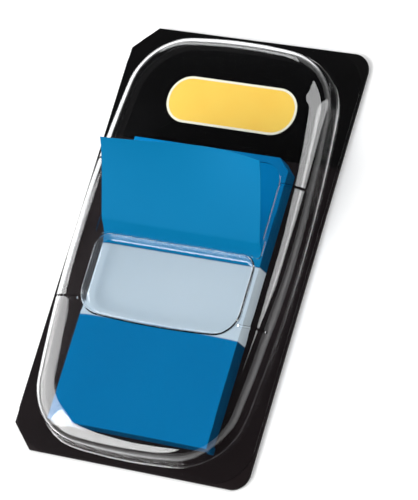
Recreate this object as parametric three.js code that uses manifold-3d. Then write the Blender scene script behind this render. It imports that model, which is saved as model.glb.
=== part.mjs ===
// A pocket dispenser of sticky index tabs, lying on its back.
// A pad of two-ended tabs rests on a stiff black card under a thermoformed clear blister.
// The next tab stands up through the window in the blister.
//
// Units are millimetres. The origin is on the card's back, at its centre.
// +X runs across the card, +Y runs along it towards the header, and +Z points out of its face.

import * as THREE from 'three';
import { mergeVertices } from 'three/addons/utils/BufferGeometryUtils.js';
import Module from 'manifold-3d';

const wasm = await Module();
wasm.setup();

// One tab of film: coloured at one end and clear with adhesive over the rest
const tabWidth = 25.4;
const tabLength = 43.2;
const colouredLength = 16.2;
const filmThickness = 0.12;

// Pad of tabs, with one clipped corner at its upper end
const padHeight = 2.4;
const padCornerClip = 1.8;

// Room that the dome leaves round the pad, measured to the dome's foot
const roomBeside = 4.9;
const roomBelow = 3.2;
const headerLength = 16.6;

// Backing card, which reaches past the dome's foot; its left corners are cut and its right ones round
const cardPastSides = 1.4;
const cardPastEnds = 1.2;
const cardThickness = 0.5;
const cardCornerCut = 3.5;
const cardCornerRadius = 2.6;

// Clear sheet that the blister is formed from, and the flange that is welded to the card
const sheetThickness = 0.35;
const flangeMargin = 0.15;
const flangeCornerRadius = 6;

// Dome, whose four sides bow outwards between round corners
const domeSideBow = 1.1;
const domeEndBow = 0.35;
const domeCornerRadius = 9.5;
const footRadius = 0.4;
const shoulderRadius = 1.25;
const wallDraft = THREE.MathUtils.degToRad(5);

// Pocket pressed into the dome, which holds the pad down; it overlaps both coloured ends
const pocketDepth = 1.3;
const pocketInsideTab = 0.2;
const pocketOverUpperEnd = 0.55;
const pocketOverLowerEnd = 0.65;
const pocketBow = 0.3;
const pocketLipCornerRadius = 1.8;
const pocketFootCornerRadius = 3.6;
const pocketRimRadius = 0.15;
const pocketFloorRadius = 0.3;
const pocketDraft = THREE.MathUtils.degToRad(8);
const pocketRunningGap = 0.18;

// The way the next tab stands up behind the pocket's lip
const tabSetback = 0.5;
const tabExitRun = 1.7;
const tabExitAngle = THREE.MathUtils.degToRad(52);
const tabHiddenLength = 3.97;
const tabStandAngle = THREE.MathUtils.degToRad(37.5);
const tabTipAngle = THREE.MathUtils.degToRad(48);
const tabRipple = 0.25;

// Window cut through the dome above the pocket, with a relief notch at each end of the lip
const windowPastTab = 0.1;
const windowShortOfPad = 1.6;
const windowCornerRadius = 3;
const notchDepth = 0.45;
const notchBelowLip = 0.05;
const notchLength = 3;
const notchCornerRadius = 0.6;

// Cross slits over the dome's shoulders, level with the window's end and the pocket's foot
const slitWidth = 0.35;
const slitBelowWindowEnd = 2.8;
const slitAboveFoot = 2.05;
const slitGap = 0.4;
const slitDepth = 1.3;

// Printed header panel on the card, above the pad
const headerThickness = 0.2;
const headerGap = 0.4;
const headerMargin = 0.5;

// Facet counts of the round stretches
const cornerSteps = 9;
const sideSteps = 4;
const smallArcSteps = 4;
const bendSteps = 8;
const riseSteps = 10;
const rippleSteps = 8;

// Heights that several pieces share
const flangeTop = cardThickness + sheetThickness;
const padTop = cardThickness + padHeight;
const filmTop = padTop + filmThickness;
const pocketFloor = filmTop + pocketRunningGap + sheetThickness;
const domeTop = pocketFloor + pocketDepth;
const domeUnderside = domeTop - sheetThickness;

// Outer sizes, built up from the pad outwards
const domeWidth = tabWidth + 2 * roomBeside;
const domeLength = roomBelow + tabLength + headerLength;
const cardWidth = domeWidth + 2 * cardPastSides;
const cardLength = domeLength + 2 * cardPastEnds;

// Places along the card
const padLowerEnd = roomBelow - domeLength / 2;
const padUpperEnd = padLowerEnd + tabLength;
const pocketFoot = padLowerEnd + colouredLength - pocketOverLowerEnd;
const pocketLip = padUpperEnd - colouredLength + pocketOverUpperEnd;
const lipBack = pocketLip + sheetThickness;
const windowEnd = padUpperEnd - windowShortOfPad;

// Half widths of the pocket and the window
const pocketHalf = tabWidth / 2 - pocketInsideTab;
const windowHalf = tabWidth / 2 + windowPastTab;

// Cutting tools reach this far past what they cut
const overcut = 1;

// A solid for joining and cutting, from any closed geometry
function toSolid(geometry) {
  const bare = geometry.clone();
  bare.deleteAttribute('normal');
  bare.deleteAttribute('uv');
  const merged = mergeVertices(bare, 1e-5);
  const mesh = new wasm.Mesh({
    numProp: 3,
    vertProperties: new Float32Array(merged.attributes.position.array),
    triVerts: new Uint32Array(merged.index.array),
  });
  return new wasm.Manifold(mesh);
}

// A geometry again, from a solid
function toGeometry(solid) {
  const mesh = solid.getMesh();
  const geometry = new THREE.BufferGeometry();
  geometry.setAttribute('position', new THREE.BufferAttribute(new Float32Array(mesh.vertProperties), 3));
  geometry.setIndex(new THREE.BufferAttribute(new Uint32Array(mesh.triVerts), 1));
  geometry.computeVertexNormals();
  return geometry;
}

// Points of an arc, each with the outward direction that an offset follows
function arcPoints(centreX, centreY, radius, from, to, steps) {
  const points = [];
  for (let i = 0; i <= steps; i += 1) {
    const angle = from + (to - from) * (i / steps);
    const nx = Math.cos(angle);
    const ny = Math.sin(angle);
    points.push({ x: centreX + radius * nx, y: centreY + radius * ny, nx, ny });
  }
  return points;
}

// Half the angle that a bowed side turns through, from its bow and half its chord
function bowAngle(bow, halfChord) {
  return 2 * Math.atan(bow / halfChord);
}

// A rounded outline whose sides may bow outwards, made of arcs that meet smoothly
function roundedOutline(form) {
  const { halfWidth, top, bottom, topRadius, bottomRadius } = form;
  const { sideBow = 0, topBow = 0, bottomBow = 0 } = form;
  const upperX = halfWidth - sideBow - topRadius;
  const lowerX = halfWidth - sideBow - bottomRadius;
  const upperY = top - topBow - topRadius;
  const lowerY = bottom + bottomBow + bottomRadius;
  const middleY = (upperY + lowerY) / 2;
  const halfRun = (upperY - lowerY) / 2;
  const side = bowAngle(sideBow, halfRun);
  const upper = bowAngle(topBow, upperX);
  const lower = bowAngle(bottomBow, lowerX);
  const quarter = Math.PI / 2;
  const points = [];

  const addCorner = (x, y, radius, from, to) => {
    points.push(...arcPoints(x, y, radius, from, to, cornerSteps));
  };
  const addBow = (x, y, radius, middle, half) => {
    if (half === 0) return;
    const bow = arcPoints(x, y, radius, middle - half, middle + half, sideSteps);
    points.push(...bow.slice(1, -1));
  };
  const sideRadius = (radius) => radius + halfRun / Math.sin(side);

  addCorner(upperX, upperY, topRadius, side, quarter - upper);
  addBow(0, upperY - upperX / Math.tan(upper), topRadius + upperX / Math.sin(upper), quarter, upper);
  addCorner(-upperX, upperY, topRadius, quarter + upper, 2 * quarter - side);
  addBow(halfRun / Math.tan(side) - upperX, middleY, sideRadius(topRadius), 2 * quarter, side);
  addCorner(-lowerX, lowerY, bottomRadius, 2 * quarter + side, 3 * quarter - lower);
  addBow(0, lowerY + lowerX / Math.tan(lower), bottomRadius + lowerX / Math.sin(lower), 3 * quarter, lower);
  addCorner(lowerX, lowerY, bottomRadius, 3 * quarter + lower, 4 * quarter - side);
  addBow(upperX - halfRun / Math.tan(side), middleY, sideRadius(topRadius), 4 * quarter, side);
  return points;
}

// One level of a loft: the outline moved outwards by grow, at height z
function ring(outline, grow, z) {
  return outline.map((p) => new THREE.Vector3(p.x + p.nx * grow, p.y + p.ny * grow, z));
}

// A closed loft through rings that are listed from the lowest to the highest
function loft(rings) {
  const count = rings[0].length;
  const positions = rings.flat().flatMap((p) => [p.x, p.y, p.z]);
  const index = [];
  for (let level = 0; level + 1 < rings.length; level += 1) {
    for (let i = 0; i < count; i += 1) {
      const a = level * count + i;
      const b = level * count + ((i + 1) % count);
      index.push(a, b, b + count, a, b + count, a + count);
    }
  }
  const last = (rings.length - 1) * count;
  for (let i = 1; i + 1 < count; i += 1) {
    index.push(0, i + 1, i);
    index.push(last, last + i, last + i + 1);
  }
  const geometry = new THREE.BufferGeometry();
  geometry.setAttribute('position', new THREE.Float32BufferAttribute(positions, 3));
  geometry.setIndex(index);
  return geometry;
}

// A plate cut to a shape, from one height to another
function plate(shape, from, to) {
  const options = { depth: to - from, bevelEnabled: false, curveSegments: cornerSteps };
  const geometry = new THREE.ExtrudeGeometry(shape, options);
  geometry.translate(0, 0, from);
  return geometry;
}

// A box between two corners
function block(low, high) {
  const size = new THREE.Vector3().subVectors(high, low);
  const centre = new THREE.Vector3().addVectors(high, low).multiplyScalar(0.5);
  return new THREE.BoxGeometry(size.x, size.y, size.z).translate(centre.x, centre.y, centre.z);
}

// A rectangle with its own radius at every corner
function roundedRectangle(left, bottom, right, top, radius) {
  const quarter = Math.PI / 2;
  const shape = new THREE.Shape();
  shape.moveTo(left + radius, bottom);
  shape.lineTo(right - radius, bottom);
  shape.absarc(right - radius, bottom + radius, radius, -quarter, 0);
  shape.lineTo(right, top - radius);
  shape.absarc(right - radius, top - radius, radius, 0, quarter);
  shape.lineTo(left + radius, top);
  shape.absarc(left + radius, top - radius, radius, quarter, 2 * quarter);
  shape.lineTo(left, bottom + radius);
  shape.absarc(left + radius, bottom + radius, radius, 2 * quarter, 3 * quarter);
  return shape;
}

// Stiff backing card
function backingCard() {
  const x = cardWidth / 2;
  const y = cardLength / 2;
  const shape = new THREE.Shape();
  shape.moveTo(-x + cardCornerCut, -y);
  shape.lineTo(x - cardCornerRadius, -y);
  shape.absarc(x - cardCornerRadius, -y + cardCornerRadius, cardCornerRadius, -Math.PI / 2, 0);
  shape.lineTo(x, y - cardCornerRadius);
  shape.absarc(x - cardCornerRadius, y - cardCornerRadius, cardCornerRadius, 0, Math.PI / 2);
  shape.lineTo(-x + cardCornerCut, y);
  shape.lineTo(-x, y - cardCornerCut);
  shape.lineTo(-x, -y + cardCornerCut);
  shape.closePath();
  return plate(shape, 0, cardThickness);
}

// The dome's outline at its foot
function domeOutline() {
  return roundedOutline({
    halfWidth: domeWidth / 2,
    top: domeLength / 2,
    bottom: -domeLength / 2,
    topRadius: domeCornerRadius,
    bottomRadius: domeCornerRadius,
    sideBow: domeSideBow,
    topBow: domeEndBow,
    bottomBow: domeEndBow,
  });
}

// How far the wall leans in, between its foot and the start of its shoulder
const wallLean = (domeTop - shoulderRadius - flangeTop - footRadius) * Math.tan(wallDraft);

// Rings of the dome's face, or of its underside when inside is the sheet's thickness
function domeRings(inside) {
  const outline = domeOutline();
  const rings = [];
  const footArc = footRadius + inside;
  for (let i = 0; i <= smallArcSteps; i += 1) {
    const angle = (i / smallArcSteps) * (Math.PI / 2 - wallDraft);
    const grow = footRadius - footArc * Math.sin(angle);
    rings.push(ring(outline, grow, flangeTop + footRadius - footArc * Math.cos(angle)));
  }
  const shoulderArc = shoulderRadius - inside;
  for (let i = 0; i <= smallArcSteps; i += 1) {
    const angle = wallDraft + (i / smallArcSteps) * (Math.PI / 2 - wallDraft);
    const grow = shoulderArc * Math.cos(angle) - shoulderRadius - wallLean;
    rings.push(ring(outline, grow, domeTop - shoulderRadius + shoulderArc * Math.sin(angle)));
  }
  return rings;
}

// The pocket's outline at the dome's face
function pocketOutline() {
  return roundedOutline({
    halfWidth: pocketHalf,
    top: pocketLip,
    bottom: pocketFoot,
    topRadius: pocketLipCornerRadius,
    bottomRadius: pocketFootCornerRadius,
    bottomBow: pocketBow,
  });
}

// How far the pocket narrows from the dome's face to its floor
const pocketLean = (domeTop - pocketFloor) * Math.tan(pocketDraft);

// The sheet's underside all round and below the pocket
function pocketShell() {
  const outline = pocketOutline();
  const arc = pocketFloorRadius + sheetThickness;
  const rings = [];
  for (let i = smallArcSteps; i >= 0; i -= 1) {
    const angle = (i / smallArcSteps) * (Math.PI / 2);
    const grow = arc * Math.cos(angle) - pocketFloorRadius - pocketLean;
    rings.push(ring(outline, grow, pocketFloor + pocketFloorRadius - arc * Math.sin(angle)));
  }
  rings.push(ring(outline, sheetThickness, domeTop - pocketRimRadius));
  rings.push(ring(outline, sheetThickness - pocketRimRadius / 2, domeTop));
  return loft(rings);
}

// The hollow of the pocket, open to the front
function pocketHollow() {
  const outline = pocketOutline();
  const rings = [];
  for (let i = smallArcSteps; i >= 0; i -= 1) {
    const angle = (i / smallArcSteps) * (Math.PI / 2);
    const grow = pocketFloorRadius * (Math.cos(angle) - 1) - pocketLean;
    rings.push(ring(outline, grow, pocketFloor + pocketFloorRadius * (1 - Math.sin(angle))));
  }
  rings.push(ring(outline, 0, domeTop - pocketRimRadius));
  rings.push(ring(outline, pocketRimRadius, domeTop));
  rings.push(ring(outline, pocketRimRadius, domeTop + overcut));
  return loft(rings);
}

// The window with its two round upper corners
function windowShape() {
  const cornerX = windowHalf - windowCornerRadius;
  const cornerY = windowEnd - windowCornerRadius;
  const shape = new THREE.Shape();
  shape.moveTo(-windowHalf, lipBack);
  shape.lineTo(windowHalf, lipBack);
  shape.lineTo(windowHalf, cornerY);
  shape.absarc(cornerX, cornerY, windowCornerRadius, 0, Math.PI / 2);
  shape.lineTo(-cornerX, windowEnd);
  shape.absarc(-cornerX, cornerY, windowCornerRadius, Math.PI / 2, Math.PI);
  shape.closePath();
  return shape;
}

// The relief notch at one end of the lip; side is 1 on the right and -1 on the left
function notchShape(side) {
  const outer = side * (windowHalf + notchDepth);
  const inner = side * (windowHalf - notchDepth - notchCornerRadius);
  const bottom = pocketLip - notchBelowLip;
  const top = bottom + notchLength;
  return roundedRectangle(Math.min(inner, outer), bottom, Math.max(inner, outer), top, notchCornerRadius);
}

// The cutter of one slit, from beside the pad's track over the shoulder
function slitCutter(side, y) {
  const near = side * (pocketHalf + slitGap);
  const far = side * (domeWidth / 2 + overcut);
  const low = new THREE.Vector3(Math.min(near, far), y - slitWidth / 2, domeTop - slitDepth);
  const high = new THREE.Vector3(Math.max(near, far), y + slitWidth / 2, domeTop + overcut);
  return block(low, high);
}

// Thermoformed clear blister: flange, bowed dome, pocket, window and slits
function clearBlister() {
  const x = cardWidth / 2 - flangeMargin;
  const y = cardLength / 2 - flangeMargin;
  const flange = plate(roundedRectangle(-x, -y, x, y, flangeCornerRadius), cardThickness, flangeTop);
  const outer = domeRings(0);
  const inner = domeRings(sheetThickness);
  const lowest = (rings, z) => rings[0].map((p) => new THREE.Vector3(p.x, p.y, z));
  outer.unshift(lowest(outer, cardThickness));
  inner.unshift(lowest(inner, cardThickness - overcut));

  let blister = toSolid(flange).add(toSolid(loft(outer)));
  blister = blister.subtract(toSolid(loft(inner)));
  blister = blister.add(toSolid(pocketShell()));
  blister = blister.subtract(toSolid(pocketHollow()));
  blister = blister.subtract(toSolid(plate(windowShape(), domeUnderside - overcut, domeTop + overcut)));
  for (const side of [-1, 1]) {
    const notch = plate(notchShape(side), domeUnderside - overcut, domeTop + overcut);
    blister = blister.subtract(toSolid(notch));
    for (const slitY of [windowEnd - slitBelowWindowEnd, pocketFoot + slitAboveFoot]) {
      blister = blister.subtract(toSolid(slitCutter(side, slitY)));
    }
  }
  return toGeometry(blister);
}

// The pad of stacked tabs that are still to come
function tabPad() {
  const half = tabWidth / 2;
  const shape = new THREE.Shape();
  shape.moveTo(-half, padLowerEnd);
  shape.lineTo(half, padLowerEnd);
  shape.lineTo(half, padUpperEnd - padCornerClip);
  shape.lineTo(half - padCornerClip, padUpperEnd);
  shape.lineTo(-half, padUpperEnd);
  shape.closePath();
  return plate(shape, cardThickness, padTop);
}

// The next tab's path in the YZ plane: flat on the pad, bent up behind the lip, then rising
function tabPath() {
  const middle = padTop + filmThickness / 2;
  const along = (angle, length) => new THREE.Vector2(Math.cos(angle), Math.sin(angle)).multiplyScalar(length);
  const bendStart = new THREE.Vector2(lipBack - tabSetback, middle);
  const exit = new THREE.Vector2(lipBack + tabExitRun, domeTop + filmThickness);
  const tip = exit.clone().add(along(tabStandAngle, colouredLength - tabHiddenLength));
  const bendReach = exit.distanceTo(bendStart) / 3;
  const riseReach = tip.distanceTo(exit) / 3;
  const flat = new THREE.LineCurve(new THREE.Vector2(padLowerEnd, middle), bendStart);
  const bend = new THREE.CubicBezierCurve(
    bendStart,
    bendStart.clone().add(along(0, bendReach)),
    exit.clone().sub(along(tabExitAngle, bendReach)),
    exit,
  );
  const rise = new THREE.CubicBezierCurve(
    exit,
    exit.clone().add(along(tabExitAngle, bendReach)),
    tip.clone().sub(along(tabTipAngle, riseReach)),
    tip,
  );
  return { flat, bend, rise };
}

// Stations along the path, each with the direction square to the film and its share of the ripple
function tabStations() {
  const { flat, bend, rise } = tabPath();
  const stations = [];
  const add = (curve, t, share) => {
    const point = curve.getPoint(t);
    const tangent = curve.getTangent(t);
    stations.push({ point, normal: new THREE.Vector2(-tangent.y, tangent.x), share });
  };
  add(flat, 0, 0);
  add(flat, 1, 0);
  for (let i = 1; i <= bendSteps; i += 1) add(bend, i / bendSteps, 0);
  for (let i = 1; i <= riseSteps; i += 1) add(rise, i / riseSteps, (i / riseSteps) ** 2);
  return stations;
}

// The next tab, a thin film that ripples a little towards its free end
function topTab() {
  const stations = tabStations();
  const across = rippleSteps + 1;
  const positions = [];
  for (const face of [-1, 1]) {
    for (const { point, normal, share } of stations) {
      for (let j = 0; j < across; j += 1) {
        const u = j / rippleSteps;
        const ripple = tabRipple * share * Math.sin(3 * Math.PI * u);
        const lift = ripple + (face * filmThickness) / 2;
        positions.push((u - 0.5) * tabWidth, point.x + normal.x * lift, point.y + normal.y * lift);
      }
    }
  }
  const layer = stations.length * across;
  const at = (row, column) => row * across + column;
  const index = [];
  const quad = (a, b, c, d) => index.push(a, b, c, a, c, d);
  const lastRow = stations.length - 1;
  for (let row = 0; row < lastRow; row += 1) {
    for (let j = 0; j < rippleSteps; j += 1) {
      quad(at(row, j), at(row + 1, j), at(row + 1, j + 1), at(row, j + 1));
      quad(layer + at(row, j), layer + at(row, j + 1), layer + at(row + 1, j + 1), layer + at(row + 1, j));
    }
    quad(at(row, 0), layer + at(row, 0), layer + at(row + 1, 0), at(row + 1, 0));
    quad(
      at(row, rippleSteps),
      at(row + 1, rippleSteps),
      layer + at(row + 1, rippleSteps),
      layer + at(row, rippleSteps),
    );
  }
  for (let j = 0; j < rippleSteps; j += 1) {
    quad(at(0, j), at(0, j + 1), layer + at(0, j + 1), layer + at(0, j));
    quad(at(lastRow, j), layer + at(lastRow, j), layer + at(lastRow, j + 1), at(lastRow, j + 1));
  }
  const geometry = new THREE.BufferGeometry();
  geometry.setAttribute('position', new THREE.Float32BufferAttribute(positions, 3));
  geometry.setIndex(index);
  geometry.computeVertexNormals();
  return geometry;
}

// The header panel, which fills the dome's outline above the pad
function headerPanel() {
  const outline = domeOutline();
  const grow = -(sheetThickness + wallLean + headerMargin);
  const top = cardThickness + headerThickness;
  const filled = loft([ring(outline, grow, cardThickness), ring(outline, grow, top)]);
  const below = block(
    new THREE.Vector3(-domeWidth, -domeLength, -overcut),
    new THREE.Vector3(domeWidth, padUpperEnd + headerGap, top + overcut),
  );
  return toGeometry(toSolid(filled).subtract(toSolid(below)));
}

// Finishes
const blackCard = new THREE.MeshStandardMaterial({ color: 0x14100f, roughness: 0.45, metalness: 0 });
const blackPrint = new THREE.MeshStandardMaterial({ color: 0x050505, roughness: 0.3, metalness: 0 });
const blueFilm = new THREE.MeshStandardMaterial({ color: 0x0080b4, roughness: 0.5, metalness: 0 });
const paleFilm = new THREE.MeshStandardMaterial({ color: 0xafc3d2, roughness: 0.5, metalness: 0 });
const clearSheet = new THREE.MeshStandardMaterial({
  color: 0xffffff,
  roughness: 0.08,
  metalness: 0,
  transparent: true,
  opacity: 0.25,
});

const dispenser = new THREE.Group();

function addPiece(name, geometry, material) {
  const mesh = new THREE.Mesh(geometry, material);
  mesh.name = name;
  dispenser.add(mesh);
}

addPiece('backing_card', backingCard(), blackCard);
addPiece('header_panel', headerPanel(), blackPrint);
addPiece('tab_pad', tabPad(), paleFilm);
addPiece('top_tab', topTab(), blueFilm);
addPiece('clear_blister', clearBlister(), clearSheet);

export default dispenser;
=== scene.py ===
# %% [markdown]
# A pocket dispenser of sticky index tabs, lying on its back.
# A stiff black card carries a pad of blue film tabs under a clear formed blister,
# and the next tab stands up through the window in the blister.
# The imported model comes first, because every piece here takes its place from it.

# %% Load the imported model
import math

import bmesh
import bpy
from mathutils import Euler, Matrix, Vector


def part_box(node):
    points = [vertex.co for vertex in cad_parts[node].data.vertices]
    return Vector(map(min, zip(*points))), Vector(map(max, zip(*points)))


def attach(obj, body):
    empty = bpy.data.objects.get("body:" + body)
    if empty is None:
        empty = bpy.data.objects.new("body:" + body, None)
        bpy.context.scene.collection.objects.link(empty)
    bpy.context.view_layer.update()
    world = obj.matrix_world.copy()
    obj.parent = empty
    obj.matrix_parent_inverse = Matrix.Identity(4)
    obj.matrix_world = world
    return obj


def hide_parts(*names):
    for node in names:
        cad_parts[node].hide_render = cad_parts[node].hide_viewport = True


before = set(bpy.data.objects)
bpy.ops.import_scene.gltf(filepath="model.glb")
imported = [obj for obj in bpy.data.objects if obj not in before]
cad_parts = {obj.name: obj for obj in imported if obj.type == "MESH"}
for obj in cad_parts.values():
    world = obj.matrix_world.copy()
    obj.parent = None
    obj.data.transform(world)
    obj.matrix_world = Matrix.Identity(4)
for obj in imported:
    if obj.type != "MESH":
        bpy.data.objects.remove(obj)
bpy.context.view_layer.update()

mm = 0.001
up = Vector((0, 0, 1))
print("nodes:", sorted(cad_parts))

# %% [markdown]
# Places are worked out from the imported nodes, which keeps the fine pieces where the plain solids are.
# The sizes that stay here are thicknesses, small clearances and, further down, the blister's own radii.

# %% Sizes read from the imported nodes
card_low, card_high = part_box("backing_card")
header_low, header_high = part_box("header_panel")
pad_low, pad_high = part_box("tab_pad")
sheet_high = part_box("clear_blister")[1]

sheet_thickness = 0.35 * mm
film_thickness = 0.1 * mm
film_above_pad = 0.12 * mm
pocket_above_pad = 0.65 * mm
film_top = pad_high.z + film_above_pad
dome_top = sheet_high.z
flange_top = card_high.z + sheet_thickness
pocket_floor = pad_high.z + pocket_above_pad
half_tab = pad_high.x
print("card:", [round(v / mm, 2) for v in card_high - card_low], "mm")
print("dome above the card:", round((dome_top - card_high.z) / mm, 2), "mm")

# %% [markdown]
# The photograph looks down on the pack from its lower right.
# A long lens keeps the card's sides nearly parallel, so the camera stands far off and sees a narrow field.
# Its place and turn were worked out from the card's corners and the width of the tabs.

# %% Camera
camera_data = bpy.data.cameras.new("camera")
camera = bpy.data.objects.new("camera", camera_data)
bpy.context.scene.collection.objects.link(camera)
camera.location = (219.89 * mm, -117.71 * mm, 411.34 * mm)
camera.rotation_mode = "ZYX"
camera.rotation_euler = Euler((math.radians(16.0614), math.radians(26.9094), math.radians(9.342)), "ZYX")
camera_data.sensor_width = 36
camera_data.lens = 243.9
camera_data.clip_start = 0.01
camera_data.clip_end = 20
bpy.context.scene.camera = camera
bpy.context.scene.view_settings.view_transform = "Standard"
print("camera distance:", round(camera.location.length, 3), "m")

# %% [markdown]
# A finish is a small graph of shader nodes.
# These helpers make the graphs short to read: one adds a node and sets its constant sockets,
# one starts a material with its main shader, and the others vary a tone, a sheen or a relief.

# %% Helpers for finishes
def add_node(tree, kind, settings=None, **sockets):
    node = tree.nodes.new(kind)
    for name, value in (settings or {}).items():
        setattr(node, name, value)
    for name, value in sockets.items():
        node.inputs[name.replace("_", " ")].default_value = value
    return node


def new_finish(name):
    finish = bpy.data.materials.new(name)
    finish.use_nodes = True
    tree = finish.node_tree
    shader = tree.nodes["Principled BSDF"]
    place = tree.nodes.new("ShaderNodeTexCoord").outputs["Object"]
    return finish, tree, shader, place


def two_tones(tree, factor, first, second):
    mix = add_node(tree, "ShaderNodeMix", {"data_type": "RGBA"})
    mix.inputs["A"].default_value = (*first, 1)
    mix.inputs["B"].default_value = (*second, 1)
    tree.links.new(factor, mix.inputs["Factor"])
    return mix.outputs["Result"]


def ramp(tree, value, low, high, smooth=False):
    kind = "SMOOTHSTEP" if smooth else "LINEAR"
    node = add_node(tree, "ShaderNodeMapRange", {"interpolation_type": kind})
    node.inputs["From Min"].default_value = low
    node.inputs["From Max"].default_value = high
    tree.links.new(value, node.inputs["Value"])
    return node.outputs["Result"]


def blend_by(tree, factor, first, second):
    """The first colour where the factor is 0 and the second where it is 1, both from other nodes."""
    mix = add_node(tree, "ShaderNodeMix", {"data_type": "RGBA"})
    tree.links.new(factor, mix.inputs["Factor"])
    tree.links.new(first, mix.inputs["A"])
    tree.links.new(second, mix.inputs["B"])
    return mix.outputs["Result"]


def along_card(tree, place):
    """How far up the card a spot lies, towards the header."""
    split = tree.nodes.new("ShaderNodeSeparateXYZ")
    tree.links.new(place, split.inputs[0])
    return split.outputs["Y"]


def noise(tree, place, scale, detail=3):
    node = add_node(tree, "ShaderNodeTexNoise", Scale=scale, Detail=detail)
    tree.links.new(place, node.inputs["Vector"])
    return node.outputs["Fac"]


def add_bump(tree, shader, height, strength, distance):
    bump = add_node(tree, "ShaderNodeBump", Strength=strength, Distance=distance)
    tree.links.new(height, bump.inputs["Height"])
    tree.links.new(bump.outputs["Normal"], shader.inputs["Normal"])


def vary_roughness(tree, shader, factor, low, high):
    spread = add_node(tree, "ShaderNodeMapRange")
    spread.inputs["To Min"].default_value = low
    spread.inputs["To Max"].default_value = high
    tree.links.new(factor, spread.inputs["Value"])
    tree.links.new(spread.outputs["Result"], shader.inputs["Roughness"])


# %% [markdown]
# New pieces are shaped in a bmesh and then become objects.
# This helper finishes one: it shades round stretches smoothly, keeps real corners sharp,
# puts the piece on the pack's one body and names the material slot that it takes its finish from.

# %% Helper for finished pieces
def finish_piece(name, bm, finish, replaces=(), sharp=32):
    for face in bm.faces:
        face.smooth = True
    for edge in bm.edges:
        turn = edge.calc_face_angle(math.pi)
        edge.smooth = turn < math.radians(sharp)
    mesh = bpy.data.meshes.new(name)
    bm.to_mesh(mesh)
    bm.free()
    piece = bpy.data.objects.new(name, mesh)
    bpy.context.scene.collection.objects.link(piece)
    mesh.materials.append(finish)
    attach(piece, "root")
    if replaces:
        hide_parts(*replaces)
    print(name, "faces:", len(mesh.polygons))
    return piece


def only(kind, geometry):
    """The vertices, the edges or the faces of what an operator gave back."""
    return [item for item in geometry if isinstance(item, kind)]


same_spot = 0.001 * mm


def node_copy(node):
    """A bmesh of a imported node, with its loose triangles joined and its flat faces whole again."""
    bm = bmesh.new()
    bm.from_mesh(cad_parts[node].data)
    bmesh.ops.remove_doubles(bm, verts=bm.verts, dist=same_spot)
    bmesh.ops.dissolve_limit(bm, angle_limit=math.radians(0.5), verts=bm.verts, edges=bm.edges)
    return bm


# %% [markdown]
# The backing card is die-cut from stiff black sheet with a fine satin grain,
# and it is printed a deeper black round the header.
# Cutting leaves its edges slightly rounded, and they catch a thin line of light.
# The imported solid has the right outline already, so a copy of it only needs its edges bevelled.

# %% Black card
card_finish, tree, shader, place = new_finish("satin black card")
grain = noise(tree, place, 9000, 4)
cloud = noise(tree, place, 120)
worn = two_tones(tree, cloud, (0.0075, 0.0048, 0.0052), (0.012, 0.0085, 0.009))
ink_edge = header_low.y
ink_blur = 0.3 * mm
inked = ramp(tree, along_card(tree, place), ink_edge - ink_blur, ink_edge + ink_blur, True)
tone = add_node(tree, "ShaderNodeMix", {"data_type": "RGBA"})
tone.inputs["B"].default_value = (0.0018, 0.0016, 0.0017, 1)
tree.links.new(inked, tone.inputs["Factor"])
tree.links.new(worn, tone.inputs["A"])
tree.links.new(tone.outputs["Result"], shader.inputs["Base Color"])
vary_roughness(tree, shader, grain, 0.38, 0.52)
shader.inputs["Specular IOR Level"].default_value = 0.05
add_bump(tree, shader, grain, 0.15, 0.01 * mm)

card_rounding = 0.07 * mm
bm = node_copy("backing_card")
bmesh.ops.bevel(bm, geom=bm.edges, offset=card_rounding, offset_type="OFFSET", segments=3, profile=0.5,
                affect="EDGES", clamp_overlap=True, material=-1)
finish_piece("black_card_sheet", bm, card_finish, ["backing_card"])

# %% [markdown]
# The header is a deep black printed panel, smoother and darker than the card under it.
# Its ink lies on paper, so it has a faint fibre in its sheen and soft cut edges.
# It could be a darker patch in the card's own finish, but as a sheet it keeps a real edge.

# %% Printed header
print_finish, tree, shader, place = new_finish("deep black print")
fibre = noise(tree, place, 5200, 5)
tone = two_tones(tree, fibre, (0.0008, 0.0008, 0.0009), (0.0022, 0.0021, 0.0023))
tree.links.new(tone, shader.inputs["Base Color"])
vary_roughness(tree, shader, fibre, 0.3, 0.42)
shader.inputs["Specular IOR Level"].default_value = 0.01
add_bump(tree, shader, fibre, 0.08, 0.01 * mm)

panel_rounding = 0.04 * mm
bm = node_copy("header_panel")
bmesh.ops.bevel(bm, geom=bm.edges, offset=panel_rounding, offset_type="OFFSET", segments=2, profile=0.5,
                affect="EDGES", clamp_overlap=True, material=-1)
finish_piece("printed_header", bm, print_finish, ["header_panel"])

# %% [markdown]
# The header carries one plain blank label with round ends, glued on above the pad.
# It starts as a flat rectangle whose corners are rounded, and a thin rim is inset into it,
# so that the amber field gets the pale border that a cut label shows.

# %% Blank label
label_half = Vector((10.4 * mm, 3.6 * mm))
label_centre = Vector((-0.2 * mm, 22.3 * mm))
label_thickness = 0.06 * mm
end_roundness = 0.96
rim_width = 0.35 * mm

label_finish, tree, shader, place = new_finish("amber label")
weave = noise(tree, place, 3000, 5)
cloud = noise(tree, place, 160)
tone = two_tones(tree, cloud, (0.93, 0.52, 0.05), (0.98, 0.68, 0.10))
tree.links.new(tone, shader.inputs["Base Color"])
vary_roughness(tree, shader, weave, 0.4, 0.6)
add_bump(tree, shader, weave, 0.1, 0.01 * mm)

rim_finish, tree, shader, place = new_finish("pale label rim")
weave = noise(tree, place, 3000, 5)
tone = two_tones(tree, weave, (0.86, 0.82, 0.62), (0.93, 0.9, 0.74))
tree.links.new(tone, shader.inputs["Base Color"])
vary_roughness(tree, shader, weave, 0.4, 0.6)

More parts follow.
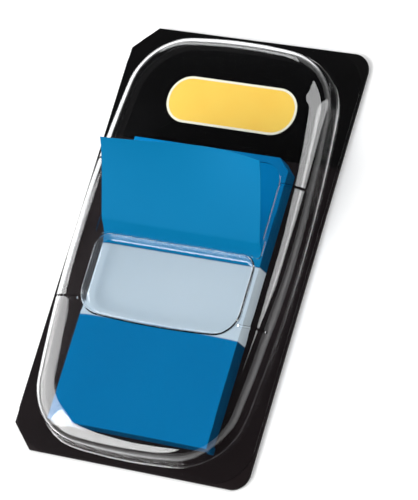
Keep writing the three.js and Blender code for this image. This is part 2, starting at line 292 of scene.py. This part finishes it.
bm = bmesh.new()
bmesh.ops.create_grid(bm, x_segments=1, y_segments=1, size=1)
bmesh.ops.scale(bm, vec=(label_half.x, label_half.y, 1), verts=bm.verts)
bmesh.ops.bevel(bm, geom=bm.verts, offset=label_half.y * end_roundness, offset_type="OFFSET",
                segments=14, profile=0.5, affect="VERTICES", clamp_overlap=True, material=-1)
bmesh.ops.translate(bm, vec=(label_centre.x, label_centre.y, header_high.z), verts=bm.verts)
outline = bm.faces[:]
raised = bmesh.ops.extrude_face_region(bm, geom=outline, use_keep_orig=True)
raised_verts = only(bmesh.types.BMVert, raised["geom"])
raised_faces = only(bmesh.types.BMFace, raised["geom"])
bmesh.ops.translate(bm, vec=(0, 0, label_thickness), verts=raised_verts)
bmesh.ops.recalc_face_normals(bm, faces=bm.faces)
bmesh.ops.inset_region(bm, faces=raised_faces, thickness=rim_width, use_even_offset=True)
field = max(bm.faces, key=lambda f: f.calc_center_median().z * 1000 + f.calc_area())
for face in bm.faces:
    face.material_index = 0 if face is field else 1
label = finish_piece("blank_label", bm, label_finish)
label.data.materials.append(rim_finish)

# %% [markdown]
# The pad is a stack of film tabs that lie alternately head to foot.
# Each is blue at one end and clear over the rest, so the stack looks blue at both ends
# and milky across the middle, where only clear film lies on clear film.
# The bands could be separate faces, but a mask in the finish keeps the top whole and softens the ink's edge.

# %% Film colours
top_inks = (0.0005, 0.15, 0.37), (0.0005, 0.175, 0.41)
# The second pair of inks is darker: painted shade for the pad's cut sides.
side_shade_inks = (0.0005, 0.045, 0.11), (0.0005, 0.06, 0.14)
# The upper end's ink is lightened by this factor: painted light against the standing tab's shadow.
painted_light_factor = 1.3
band_top = -1.5 * mm
band_bottom = -12.5 * mm
edge_blur = 0.12 * mm


def band_mask(tree, place):
    """1 across the milky middle of the pad and 0 over its blue ends."""
    y = along_card(tree, place)
    above = ramp(tree, y, band_bottom - edge_blur, band_bottom + edge_blur, True)
    below = ramp(tree, y, band_top + edge_blur, band_top - edge_blur, True)
    both = add_node(tree, "ShaderNodeMath", {"operation": "MULTIPLY"})
    tree.links.new(above, both.inputs[0])
    tree.links.new(below, both.inputs[1])
    return both.outputs["Value"]


# %% [markdown]
# The films' faces and their cut edges have the same bands, only the cut edges get a darker ink, which is
# painted shade on the pad's sides. So one function makes both finishes from two pairs of inks.

# %% Finish of the films
def film_finish(name, inks):
    """Stacked film that is milky across the middle and inked at both ends.

    The ink at the upper end is painted lighter, against the shade that the standing tab casts there.
    """
    finish, tree, shader, place = new_finish(name)
    cloud = noise(tree, place, 90)
    milk = two_tones(tree, cloud, (0.57, 0.66, 0.71), (0.65, 0.73, 0.77))
    lower_ink = two_tones(tree, cloud, *inks)
    lightened_top_end_ink = two_tones(tree, cloud, *[[painted_light_factor * c for c in ink] for ink in inks])
    upper_end = ramp(tree, along_card(tree, place), band_bottom, band_top, True)
    ink = blend_by(tree, upper_end, lower_ink, lightened_top_end_ink)
    tree.links.new(blend_by(tree, band_mask(tree, place), ink, milk), shader.inputs["Base Color"])
    vary_roughness(tree, shader, cloud, 0.42, 0.55)
    shader.inputs["Specular IOR Level"].default_value = 0.02
    return finish


pad_finish = film_finish("stacked film", top_inks)
# The sides' finish is the same film with the darker inks, which paint shade on them.
shaded_side_finish = film_finish("painted shade on cut film edges", side_shade_inks)
print("finishes of the films:", pad_finish.name, "and", shaded_side_finish.name)

# %% [markdown]
# The pad's sides show the cut edges of the films as fine lines.
# Two dozen loose sheets would show them too, with many faces that nobody sees.
# One skin does it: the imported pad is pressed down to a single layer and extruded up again
# layer by layer, and every other layer is drawn in by a hair.

# %% Pad of films
layers = 24
layer = (pad_high.z - pad_low.z) / layers
drawn_in = 0.04 * mm
facing_up = 0.9
centre = Vector((0, (pad_low.y + pad_high.y) / 2, 0))
bm = node_copy("tab_pad")
top_faces = [f for f in bm.faces if f.normal.z > facing_up]
side_verts = {v for f in top_faces for v in f.verts}
bmesh.ops.translate(bm, vec=(0, 0, layer - (pad_high.z - pad_low.z)), verts=list(side_verts))
for level in range(1, layers):
    grown = bmesh.ops.extrude_face_region(bm, geom=top_faces)
    bmesh.ops.delete(bm, geom=top_faces, context="FACES_ONLY")
    top_faces = only(bmesh.types.BMFace, grown["geom"])
    verts = only(bmesh.types.BMVert, grown["geom"])
    bmesh.ops.translate(bm, vec=(0, 0, layer), verts=verts)
    step = -drawn_in if level % 2 else drawn_in
    squeeze = (1 + step / half_tab, 1 + step / (pad_high.y - centre.y), 1)
    bmesh.ops.scale(bm, vec=squeeze, verts=verts, space=Matrix.Translation(-centre))
bmesh.ops.recalc_face_normals(bm, faces=bm.faces)
bm.normal_update()
# Faces that don't face up are the pad's sides and take the darker finish, which is painted shade.
for face in bm.faces:
    face.material_index = 0 if face.normal.z > facing_up else 1
pad = finish_piece("film_pad", bm, pad_finish, ["tab_pad"], sharp=20)
pad.data.materials.append(shaded_side_finish)

# %% [markdown]
# The next tab lies flat on the pad, bends up behind the pocket's lip and rises out of the window.
# Its way is one line and two smooth curves, so a flat grid is laid along them by its rows,
# bowed back a little towards its free end and thickened to a film.

# %% Way of the standing tab
film_middle = film_top - film_thickness / 2
lip_front = -0.75 * mm
lip_back = lip_front + sheet_thickness
setback, exit_run, exit_lift = 0.5 * mm, 1.7 * mm, 0.12 * mm
bend_start = Vector((0, lip_back - setback, film_middle))
exit_point = Vector((0, lip_back + exit_run, dome_top + exit_lift))
exit_angle, stand_angle, tip_angle = (math.radians(a) for a in (52, 37.5, 48))
stand_length = 12.23 * mm
curl = 1.6 * mm


def along(angle, length):
    """A step of the given length that rises at the given angle."""
    return Vector((0, math.cos(angle), math.sin(angle))) * length


def bezier(points, t):
    """The place and the heading on a smooth curve, at a share of its way."""
    a, b, c, d = points
    s = 1 - t
    place = a * s**3 + b * 3 * s * s * t + c * 3 * s * t * t + d * t**3
    heading = (b - a) * 3 * s * s + (c - b) * 6 * s * t + (d - c) * 3 * t * t
    return place, heading.normalized()


tip_point = exit_point + along(stand_angle, stand_length)
bend_reach = (exit_point - bend_start).length / 3
rise_reach = (tip_point - exit_point).length / 3
bend_curve = (bend_start, bend_start + along(0, bend_reach),
              exit_point - along(exit_angle, bend_reach), exit_point)
rise_curve = (exit_point, exit_point + along(exit_angle, bend_reach),
              tip_point - along(tip_angle, rise_reach), tip_point)
print("tip of the tab, mm:", [round(v / mm, 2) for v in tip_point])

# %% [markdown]
# The tab is printed blue on its free end, and its sticky end is clear film.
# The ink has almost no gloss. Below the printed edge most of the light passes straight through
# the film, so the pad shows under it.

# %% Finish of the standing tab
tab_finish, tree, shader, place = new_finish("printed film tab")
clearness = 0.93
is_clear = ramp(tree, along_card(tree, place), band_top + edge_blur, band_top - edge_blur, True)
cloud = noise(tree, place, 70)
ink = two_tones(tree, cloud, (0.0001, 0.15, 0.33), (0.0001, 0.165, 0.355))
tree.links.new(ink, shader.inputs["Base Color"])
fine = noise(tree, place, 4000, 4)
vary_roughness(tree, shader, fine, 0.45, 0.6)
shader.inputs["Specular IOR Level"].default_value = 0.03
add_bump(tree, shader, fine, 0.05, 0.01 * mm)
clear = add_node(tree, "ShaderNodeBsdfTransparent")
blend = add_node(tree, "ShaderNodeMixShader")
part_clear = add_node(tree, "ShaderNodeMath", {"operation": "MULTIPLY"})
part_clear.inputs[1].default_value = clearness
tree.links.new(is_clear, part_clear.inputs[0])
tree.links.new(part_clear.outputs["Value"], blend.inputs[0])
tree.links.new(shader.outputs["BSDF"], blend.inputs[1])
tree.links.new(clear.outputs["BSDF"], blend.inputs[2])
tree.links.new(blend.outputs["Shader"], tree.nodes["Material Output"].inputs["Surface"])

# %% [markdown]
# A swept profile would bend like the tab, but it would stay straight across.
# A grid can also be bowed: each row is set on the way, and its vertices are pushed back behind it,
# most at the free end and a little to the right of the middle, while both side edges stay on the way.

# %% Standing tab
flat_rows, bend_rows, rise_rows, columns = 12, 14, 30, 24
rows = flat_rows + bend_rows + rise_rows
corner_bias = 1.5
bm = bmesh.new()
bmesh.ops.create_grid(bm, x_segments=columns, y_segments=rows, size=0.5)
flat_start = Vector((0, pad_low.y, film_middle))
for vert in bm.verts:
    u = vert.co.x
    row = round((vert.co.y + 0.5) * rows)
    share = 0
    if row <= flat_rows:
        point, heading = flat_start.lerp(bend_start, row / flat_rows), Vector((0, 1, 0))
    elif row <= flat_rows + bend_rows:
        point, heading = bezier(bend_curve, (row - flat_rows) / bend_rows)
    else:
        share = (row - flat_rows - bend_rows) / rise_rows
        point, heading = bezier(rise_curve, share)
    outward = Vector((0, -heading.z, heading.y))
    lift = -curl * share**2 * math.sin(math.pi * (u + 0.5) ** corner_bias)
    vert.co = point + outward * (lift + film_thickness / 2) + Vector((u * 2 * half_tab, 0, 0))
bmesh.ops.recalc_face_normals(bm, faces=bm.faces)
if sum(f.normal.z for f in bm.faces) < 0:
    bmesh.ops.reverse_faces(bm, faces=bm.faces)
bmesh.ops.solidify(bm, geom=bm.faces[:], thickness=film_thickness)
finish_piece("standing_tab", bm, tab_finish, ["top_tab"], sharp=50)

# %% [markdown]
# The blister is one clear sheet that was heated and drawn over a mould, so it is a shell of one
# thickness: a flat flange, a bowed dome with soft shoulders, and a pocket pressed into the dome.
# The shoulders aren't equally soft. Where the sheet was drawn furthest, round the pad's lower left
# corner and up the right side, it sank into a wider slope, which is where the broad highlights lie.
# A share from 0 to 1 says how soft the shoulder is at a spot, and it fades out smoothly.

# %% Where the shoulders are soft
soft_corner = Vector((-14 * mm, -27 * mm))
soft_reach = Vector((30 * mm, 24 * mm))
soft_right = Vector((6 * mm, -10 * mm))
soft_fade = Vector((6 * mm, 9 * mm))
right_share = 0.7


def ease(share):
    """From 0 to 1 with a soft start and end."""
    share = min(1, max(0, share))
    return share * share * (3 - 2 * share)


def softness(place):
    """From 0 to 1, how far a spot has the softer shoulder."""
    away = Vector(((place.x - soft_corner.x) / soft_reach.x, (place.y - soft_corner.y) / soft_reach.y)).length
    right = ease((place.x - soft_right.x) / soft_fade.x) * ease((place.y - soft_right.y) / soft_fade.y)
    return max(ease(1 - away), right_share * right)


print("softness at the lower left corner:", round(softness(Vector((card_low.x, card_low.y))), 2))

# %% [markdown]
# The blister's outlines are chains of arcs that meet smoothly. Spinning one vertex about each arc's
# centre draws them, and bridging such outlines at rising heights makes the walls.
# A bevelled block would be quicker, but its sides can't bow and its fillets can't change along the way.

# %% Outlines from spun arcs
corner_steps, bow_steps, arc_steps = 22, 12, 9
welded = 0.0005 * mm


def draw_arc(bm, centre, radius, start, turn, steps, z):
    """Spins a vertex along an arc and gives back the arc's first and last vertex."""
    first = bm.verts.new((centre.x + radius * math.cos(start), centre.y + radius * math.sin(start), z))
    spun = bmesh.ops.spin(bm, geom=[first], cent=(centre.x, centre.y, z), axis=up, dvec=(0, 0, 0),
                          angle=turn, steps=steps, use_duplicate=False)
    return first, next(g for g in spun["geom_last"] if isinstance(g, bmesh.types.BMVert))


def draw_outline(form, grow, z, soft_z=None):
    """A closed outline of four corners and straight or bowed sides, grown outwards, at one height.

    Where the shoulder is soft, its height goes over to soft_z if that is given.
    """
    bm = bmesh.new()
    top_r, low_r = form["top_radius"], form["bottom_radius"]
    side_bow, end_bow, foot_bow = form.get("side_bow", 0), form.get("top_bow", 0), form.get("bottom_bow", 0)
    upper = Vector((form["half"] - side_bow - top_r, form["top"] - end_bow - top_r))
    lower = Vector((form["half"] - side_bow - low_r, form["bottom"] + foot_bow + low_r))
    middle = (upper.y + lower.y) / 2
    run = (upper.y - lower.y) / 2
    side = 2 * math.atan(side_bow / run)
    end = 2 * math.atan(end_bow / upper.x)
    foot = 2 * math.atan(foot_bow / lower.x)
    quarter = math.pi / 2
    arcs = []

    def corner(x, y, radius, start, stop):
        arcs.append(draw_arc(bm, Vector((x, y)), radius + grow, start, stop - start, corner_steps, z))

    def bow(x, y, radius, heading, half):
        arcs.append(draw_arc(bm, Vector((x, y)), radius + grow, heading - half, 2 * half, bow_steps, z))

    corner(upper.x, upper.y, top_r, side, quarter - end)
    if end:
        bow(0, upper.y - upper.x / math.tan(end), top_r + upper.x / math.sin(end), quarter, end)
    corner(-upper.x, upper.y, top_r, quarter + end, 2 * quarter - side)
    if side:
        bow(run / math.tan(side) - upper.x, middle, top_r + run / math.sin(side), 2 * quarter, side)
    corner(-lower.x, lower.y, low_r, 2 * quarter + side, 3 * quarter - foot)
    if foot:
        bow(0, lower.y + lower.x / math.tan(foot), low_r + lower.x / math.sin(foot), 3 * quarter, foot)
    corner(lower.x, lower.y, low_r, 3 * quarter + foot, 4 * quarter - side)
    if side:
        bow(upper.x - run / math.tan(side), middle, top_r + run / math.sin(side), 0, side)

    straight = []
    for (_, last), (first, _) in zip(arcs, arcs[1:] + arcs[:1]):
        if (last.co - first.co).length > same_spot:
            straight.append(bm.edges.new((last, first)))
    bmesh.ops.subdivide_edges(bm, edges=straight, cuts=bow_steps - 1)
    bmesh.ops.remove_doubles(bm, verts=bm.verts, dist=welded)
    if soft_z is not None:
        for vert in bm.verts:
            vert.co.z += softness(vert.co) * (soft_z - z)
    return bm


lid_inset = 0.06 * mm


def loft(outlines):
    """A closed solid through outlines that are listed from the lowest to the highest."""
    bm = bmesh.new()
    rings = []
    for outline in outlines:
        drawn = draw_outline(*outline)
        mesh = bpy.data.meshes.new("outline")
        drawn.to_mesh(mesh)
        drawn.free()
        before = len(bm.edges)
        bm.from_mesh(mesh)
        bpy.data.meshes.remove(mesh)
        bm.edges.ensure_lookup_table()
        rings.append(bm.edges[before:])
    for lower, higher in zip(rings, rings[1:]):
        bmesh.ops.bridge_loops(bm, edges=lower + higher)
    lid = bmesh.ops.contextual_create(bm, geom=rings[-1])["faces"]
    bmesh.ops.contextual_create(bm, geom=rings[0])
    bmesh.ops.recalc_face_normals(bm, faces=bm.faces)
    bmesh.ops.inset_region(bm, faces=lid, thickness=lid_inset, use_even_offset=True)
    return bm


# %% [markdown]
# The dome's sides bow outwards, its wall leans in by a few degrees and its shoulder is round.
# Two lofts make it: one for its face together with the flange, one for its underside,
# which follows the face at the sheet's thickness. The second is taken out of the first.
# Each loft's lid is inset by a hair, so the flat top doesn't pick up the shoulder's round shading.

# %% Dome, inside and out
bow_side, bow_end = 1.1 * mm, 0.35 * mm
dome_radius, flange_radius = 9.5 * mm, 6 * mm
foot_radius, shoulder_radius = 0.4 * mm, 2.3 * mm
draft = math.radians(5)
wall_lean = (dome_top - shoulder_radius - flange_top - foot_radius) * math.tan(draft)
shoulder_start = -shoulder_radius - wall_lean
card_past_flange, card_past_dome = 0.15 * mm, 1.2 * mm
room_beside_tabs = 4.9 * mm
overcut = 1 * mm

dome_form = {
    "half": half_tab + room_beside_tabs,
    "top": card_high.y - card_past_dome,
    "bottom": card_low.y + card_past_dome,
    "top_radius": dome_radius,
    "bottom_radius": dome_radius,
    "side_bow": bow_side,
    "top_bow": bow_end,
    "bottom_bow": bow_end,
}
flange_form = {
    "half": card_high.x - card_past_flange,
    "top": card_high.y - card_past_flange,
    "bottom": card_low.y + card_past_flange,
    "top_radius": flange_radius,
    "bottom_radius": flange_radius,
}
print("dome's width:", round(2 * dome_form["half"] / mm, 1), "mm")
print("lean of its wall:", round(wall_lean / mm, 2), "mm")

# %% [markdown]
# The soft shoulder is a chain of four arcs, each given by its radius and the tilt it ends at:
# a quick turn off the lid, a long even slope, a rounder turn and a tight one down to the wall.
# The long slope mirrors a lamp as one broad band. The underside follows at the sheet's thickness.

# %% Soft shoulder
soft_arcs = ((1.2 * mm, math.radians(15)), (11 * mm, math.radians(28)),
             (3 * mm, math.radians(48)), (1.2 * mm, math.pi / 2 - draft))


def soft_profile(inside):
    """Points of the soft shoulder from the lid to the wall, as distance outwards and height."""
    points, centre = [], Vector((0, dome_top))
    start, previous = 0, 0
    for radius, stop in soft_arcs:
        centre += Vector((math.sin(start), math.cos(start))) * (previous - radius)
        for i in range(arc_steps + 1):
            angle = start + (stop - start) * i / arc_steps
            points.append(centre + Vector((math.sin(angle), math.cos(angle))) * (radius - inside))
        start, previous = stop, radius
    return points


def soft_height(grow, inside):
    """The soft shoulder's height for an outline that is grown by the given distance."""
    points = soft_profile(inside)
    reach = min(max(grow - soft_start, 0), points[-1].x)
    for a, b in zip(points, points[1:]):
        if b.x > a.x and reach <= b.x:
            return a.y + (b.y - a.y) * max(0, reach - a.x) / (b.x - a.x)
    return points[-1].y


soft_start = -wall_lean - soft_profile(0)[-1].x
print("soft shoulder's width:", round(soft_profile(0)[-1].x / mm, 2), "mm")

# %% [markdown]
# The dome is listed as outlines, each with the distance it is grown by and its height.
# The foot's fillet comes first, then the shoulder, then a few rings on the lid,
# which let the flat top bend down into the soft slope. The underside is the same list,
# moved in by the sheet's thickness, so the sheet is equally thick all over.

# %% Levels of the dome
flat_rings = 4


def dome_levels(inside):
    """The dome's outlines from its foot to its lid, which bends down where the shoulder is soft."""
    levels = []
    foot, shoulder = foot_radius + inside, shoulder_radius - inside
    for i in range(arc_steps + 1):
        angle = (math.pi / 2 - draft) * i / arc_steps
        grow = foot_radius - foot * math.sin(angle)
        levels.append((dome_form, grow, flange_top + foot_radius - foot * math.cos(angle)))
    for i in range(arc_steps + 1):
        angle = draft + (math.pi / 2 - draft) * i / arc_steps
        grow = shoulder * math.cos(angle) + shoulder_start
        height = dome_top - shoulder_radius + shoulder * math.sin(angle)
        levels.append((dome_form, grow, height, soft_height(grow, inside)))
    for i in range(1, flat_rings + 1):
        grow = shoulder_start + (soft_start - shoulder_start) * i / flat_rings
        levels.append((dome_form, grow, dome_top - inside, soft_height(grow, inside)))
    return levels


outside = [(flange_form, 0, card_high.z), (flange_form, 0, flange_top), *dome_levels(0)]
inside = dome_levels(sheet_thickness)
inside.insert(0, (dome_form, inside[0][1], card_high.z - overcut))
print("outlines in the dome:", len(outside) + len(inside))

# %% [markdown]
# The pocket is a shallow tray with round corners, pressed down until it almost touches the pad.
# Its far wall is cut free by the window and is the lip that the tabs are drawn past.
# Again one loft gives the sheet's underside and another the hollow that is taken out of it.

# %% Pocket, inside and out
narrower_than_tabs, above_pad_end = 0.2 * mm, 15.55 * mm
pocket_form = {
    "half": half_tab - narrower_than_tabs,
    "top": lip_front,
    "bottom": pad_low.y + above_pad_end,
    "top_radius": 1.8 * mm,
    "bottom_radius": 3.6 * mm,
    "bottom_bow": 0.3 * mm,
}
rim_radius, floor_radius = 0.25 * mm, 0.55 * mm
pocket_draft = math.radians(8)
pocket_lean = (dome_top - pocket_floor) * math.tan(pocket_draft)
shell_set_in, lid_set_in = 0.02 * mm, 0.1 * mm
rim_steps = 4


def pocket_levels(thickness):
    """Outlines from the pocket's floor up to its wall, moved outwards by a thickness."""
    arc = floor_radius + thickness
    levels = []
    for i in range(arc_steps + 1):
        angle = math.pi / 2 * (1 - i / arc_steps)
        grow = arc * math.cos(angle) - floor_radius - pocket_lean
        levels.append((pocket_form, grow, pocket_floor + floor_radius - arc * math.sin(angle)))
    return levels


shell = [*pocket_levels(sheet_thickness),
         (pocket_form, sheet_thickness - shell_set_in, dome_top - rim_radius),
         (pocket_form, sheet_thickness - lid_set_in, dome_top)]
hollow = pocket_levels(0)
for i in range(rim_steps + 1):
    angle = math.pi / 2 * i / rim_steps
    grow = rim_radius * (1 - math.cos(angle))
    hollow.append((pocket_form, grow, dome_top - rim_radius + rim_radius * math.sin(angle)))
hollow.append((pocket_form, rim_radius, dome_top + overcut))
print("outlines in the pocket:", len(shell) + len(hollow))

# %% [markdown]
# Steel rules cut the window and the slits after forming, straight down through the sheet.
# So each cutter is a block, and a bevel on its upright edges rounds the corners of the cut.

# %% One cutter
def cutter(low, high, radius=0, rounded=lambda place: True):
    """A block between two corners, with the upright edges that are asked for rounded by the radius."""
    bm = bmesh.new()
    bmesh.ops.create_cube(bm, size=1)
    bmesh.ops.scale(bm, vec=high - low, verts=bm.verts)
    bmesh.ops.translate(bm, vec=(low + high) / 2, verts=bm.verts)
    upright = [e for e in bm.edges if (e.verts[0].co - e.verts[1].co).xy.length < same_spot]
    chosen = [e for e in upright if rounded(e.verts[0].co)]
    if radius:
        bmesh.ops.bevel(bm, geom=chosen, offset=radius, offset_type="OFFSET", segments=10, profile=0.5,
                        affect="EDGES", clamp_overlap=True, material=-1)
    return bm


# %% [markdown]
# The window spans the tabs' whole width, from the back of the lip almost to the pad's upper end,
# and only its two far corners are round.

# %% Window
window_clearance, pad_past_window, window_radius = 0.1 * mm, 1.6 * mm, 3 * mm
cut_past_sheet = 0.5 * mm
window_half = half_tab + window_clearance
window_end = pad_high.y - pad_past_window
below, above = dome_top - sheet_thickness - cut_past_sheet, dome_top + overcut
window_low = Vector((-window_half, lip_back, below))
window_high = Vector((window_half, window_end, above))
cutters = [cutter(window_low, window_high, window_radius, lambda place: place.y > lip_back + window_radius)]
print("window:", [round(size / mm, 2) for size in (window_high - window_low).xy], "mm")

# %% [markdown]
# A small notch at each end of the lip lets it spring without tearing,
# and four short slits across the shoulders let the dome flex.
# Both lie the same on the left and on the right, so one loop makes them.

# %% Relief notches and slits
notch_bottom, notch_top = lip_front - 0.05 * mm, lip_front + 2.95 * mm
notch_inner, notch_outer = window_half - 1.05 * mm, window_half + 0.45 * mm
notch_radius = 0.6 * mm
slit_width, slit_depth, pocket_to_slit = 0.36 * mm, 1.3 * mm, 0.4 * mm
window_past_slit, slit_past_pocket = 2.8 * mm, 2.05 * mm
slit_levels = (window_end - window_past_slit, pocket_form["bottom"] + slit_past_pocket)
for side in (-1, 1):
    near, far = sorted((side * notch_inner, side * notch_outer))
    low, high = Vector((near, notch_bottom, below)), Vector((far, notch_top, above))
    cutters.append(cutter(low, high, notch_radius))
    near, far = sorted((side * (pocket_form["half"] + pocket_to_slit), side * (dome_form["half"] + overcut)))
    for y in slit_levels:
        low = Vector((near, y - slit_width / 2, dome_top - slit_depth))
        high = Vector((far, y + slit_width / 2, above))
        cutters.append(cutter(low, high))
print("cutters:", len(cutters))

# %% [markdown]
# Joining and cutting are done by Boolean modifiers on closed solids, one after the other.
# They are applied at once and the cutters are thrown away, so only the finished sheet is left.
# It has to be one skin without an open edge, because light is bent by both of its faces.

# %% Joining and cutting
def cut_or_join(bm, tool, operation):
    """The first solid with the second joined to it or cut out of it."""
    meshes = []
    for name, source in (("sheet in work", bm), ("tool", tool)):
        mesh = bpy.data.meshes.new(name)
        source.to_mesh(mesh)
        source.free()
        meshes.append(bpy.data.objects.new(name, mesh))
        bpy.context.scene.collection.objects.link(meshes[-1])
    work, helper = meshes
    change = work.modifiers.new("change", "BOOLEAN")
    change.operation, change.solver, change.object = operation, "EXACT", helper
    result = bmesh.new()
    result.from_object(work, bpy.context.evaluated_depsgraph_get())
    for used in meshes:
        data = used.data
        bpy.data.objects.remove(used)
        bpy.data.meshes.remove(data)
    return result


sheet = cut_or_join(loft(outside), loft(inside), "DIFFERENCE")
sheet = cut_or_join(sheet, loft(shell), "UNION")
sheet = cut_or_join(sheet, loft(hollow), "DIFFERENCE")
for tool in cutters:
    sheet = cut_or_join(sheet, tool, "DIFFERENCE")
open_edges = [e for e in sheet.edges if not e.is_manifold]
print("blister faces:", len(sheet.faces), "open edges:", len(open_edges))

# %% [markdown]
# The sheet is clear, glossy and thin. Light bends as it goes in and out of it,
# which draws dark and bright lines along every wall, and its gloss mirrors the lamps on the shoulders.
# A glass-like shader gives both. Rays that only ask how much light gets through pass straight,
# so the pad and the card under the sheet are lit as they are under real clear film.

# %% Clear sheet
clear_finish, tree, shader, place = new_finish("clear formed sheet")
shader.inputs["Base Color"].default_value = (0.97, 0.975, 0.98, 1)
shader.inputs["Transmission Weight"].default_value = 1
shader.inputs["IOR"].default_value = 1.5
haze = noise(tree, place, 260, 4)
vary_roughness(tree, shader, haze, 0.01, 0.035)
flow = noise(tree, place, 55, 2)
add_bump(tree, shader, flow, 0.12, 0.1 * mm)
passing = add_node(tree, "ShaderNodeBsdfTransparent", Color=(0.93, 0.94, 0.95, 1))
rays = tree.nodes.new("ShaderNodeLightPath")
lighting = add_node(tree, "ShaderNodeMath", {"operation": "MAXIMUM"})
tree.links.new(rays.outputs["Is Shadow Ray"], lighting.inputs[0])
tree.links.new(rays.outputs["Is Diffuse Ray"], lighting.inputs[1])
blend = tree.nodes.new("ShaderNodeMixShader")
tree.links.new(lighting.outputs["Value"], blend.inputs[0])
tree.links.new(shader.outputs["BSDF"], blend.inputs[1])
tree.links.new(passing.outputs["BSDF"], blend.inputs[2])
tree.links.new(blend.outputs["Shader"], tree.nodes["Material Output"].inputs["Surface"])

finish_piece("clear_formed_sheet", sheet, clear_finish, ["clear_blister"], sharp=30)

# %% [markdown]
# The pack lies in a small studio: a white floor that curves up into a low wall all round,
# so that every view has a pale ground and the sheet's walls have something white to mirror.
# Its profile is a short line and an arc, spun once round the pack.

# %% Floor and wall
floor_finish, tree, shader, place = new_finish("white studio floor")
shader.inputs["Base Color"].default_value = (0.93, 0.93, 0.93, 1)
shader.inputs["Roughness"].default_value = 0.9
shader.inputs["Specular IOR Level"].default_value = 0
floor_level = -0.02 * mm
flat_reach, sweep_radius, wall_top = 1.0, 0.3, 0.5

bm = bmesh.new()
middle = bm.verts.new((0, 0, floor_level))
edge = bm.verts.new((flat_reach, 0, floor_level))
bm.edges.new((middle, edge))
bmesh.ops.spin(bm, geom=[edge], cent=(flat_reach, 0, floor_level + sweep_radius), axis=(0, -1, 0),
                       dvec=(0, 0, 0), angle=math.pi / 2, steps=12, use_duplicate=False)
rim = max(bm.verts, key=lambda v: v.co.x + v.co.z)
top = bm.verts.new((rim.co.x, 0, wall_top))
bm.edges.new((rim, top))
bmesh.ops.spin(bm, geom=bm.verts[:] + bm.edges[:], cent=(0, 0, 0), axis=(0, 0, 1), dvec=(0, 0, 0),
               angle=2 * math.pi, steps=64, use_merge=True, use_duplicate=False)
bmesh.ops.remove_doubles(bm, verts=bm.verts, dist=0.01 * mm)
bmesh.ops.recalc_face_normals(bm, faces=bm.faces)
for face in bm.faces:
    face.smooth = True
mesh = bpy.data.meshes.new("studio floor")
bm.to_mesh(mesh)
bm.free()
mesh.materials.append(floor_finish)
floor = bpy.data.objects.new("studio_floor", mesh)
bpy.context.scene.collection.objects.link(floor)
top_of_wall = max(v.co.z for v in mesh.vertices)
print("floor faces:", len(mesh.polygons), "top of the wall:", round(top_of_wall, 2), "m")

# %% [markdown]
# Gloss shows what stands round the pack, so the lamps are soft boxes that are placed for their mirror images.
# From the camera the flat top mirrors a stretch overhead on the left, where no lamp stands.
# Each box is given by its heading, distance, width, height and brightness, and its power follows from them.

# %% Lamps
def soft_box(name, heading, distance, width, height, brightness):
    data = bpy.data.lights.new(name, "AREA")
    data.shape = "RECTANGLE"
    data.size, data.size_y = width, height
    data.energy = brightness * math.pi * width * height
    lamp = bpy.data.objects.new(name, data)
    bpy.context.scene.collection.objects.link(lamp)
    towards = Vector(heading).normalized()
    lamp.location = towards * distance
    lamp.rotation_mode = "QUATERNION"
    lamp.rotation_quaternion = towards.to_track_quat("Z", "Y")
    lamp.visible_camera = False
    print(name, "power:", round(data.energy, 2), "W")
    return lamp


soft_box("right box", (0.72, 0.5, 0.48), 0.8, 0.22, 0.9, 3.8)
soft_box("high box", (0.28, 0.46, 0.84), 0.8, 0.5, 0.36, 4.2)
soft_box("far box", (-0.42, 0.82, 0.38), 0.8, 0.6, 0.24, 3.9)
soft_box("left box", (-0.84, -0.12, 0.46), 0.8, 0.66, 0.62, 4.3)
soft_box("near left box", (-0.6, -0.6, 0.58), 0.8, 0.6, 0.42, 7.5)

world = bpy.data.worlds.new("dim studio")
bpy.context.scene.world = world
world.use_nodes = True
world.node_tree.nodes["Background"].inputs["Color"].default_value = (0.02, 0.02, 0.02, 1)
